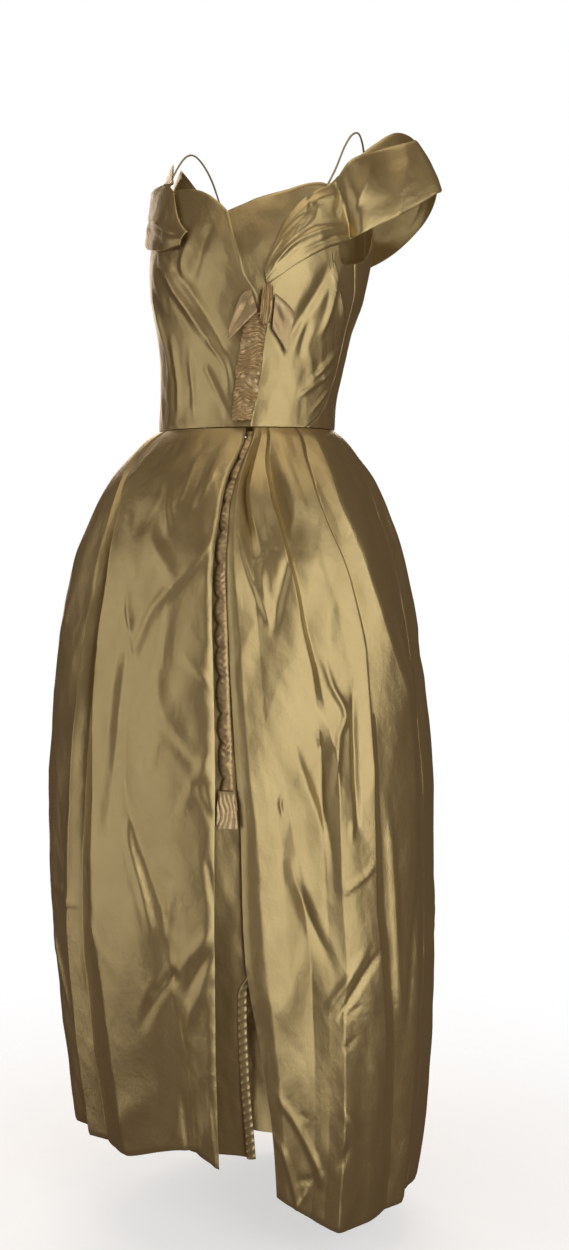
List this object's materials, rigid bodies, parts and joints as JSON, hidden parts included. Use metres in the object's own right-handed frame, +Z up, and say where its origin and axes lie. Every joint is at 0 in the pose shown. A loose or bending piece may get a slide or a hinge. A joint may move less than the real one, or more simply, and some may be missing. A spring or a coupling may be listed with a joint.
{
  "type": "evening gown",
  "caption": "Wrapped off-the-shoulder satin evening gown with a small bow, ruched trimmings and a full pleated floor-length skirt, open and hollow as worn.",
  "frame": {"origin": "centre of the waist seam, on the gown's upright axis", "axes": "+Z up, the gown faces -Y, +X towards the wearer's left"},
  "size_m": [0.5082, 0.4243, 1.3765],
  "materials": {
    "gold_satin": "heavy olive-gold duchess satin, smooth and lustrous, with soft creases",
    "rose_satin": "gathered rose-gold satin, finely puckered",
    "rouleau": "thin turned satin tube"
  },
  "bodies": {
    "root": {"bodice_front_right": "gold_satin", "bodice_front_left": "gold_satin", "bodice_side_right": "gold_satin", "bodice_side_left": "gold_satin", "bodice_back_right": "gold_satin", "bodice_back_left": "gold_satin", "shoulder_band_right": "gold_satin", "shoulder_band_left": "gold_satin", "collar_back": "gold_satin", "skirt_front_right": "gold_satin", "skirt_front_left": "gold_satin", "skirt_back_left": "gold_satin", "skirt_back_right": "gold_satin", "skirt_underlay": "gold_satin", "bow_knot": "rose_satin", "bow_tail_right": "rose_satin", "bow_tail_left": "rose_satin", "ruched_band": "rose_satin", "sash_strip": "rose_satin", "sash_end": "rose_satin", "strap_right": "rouleau", "strap_left": "rouleau"}
  },
  "joints": []
}
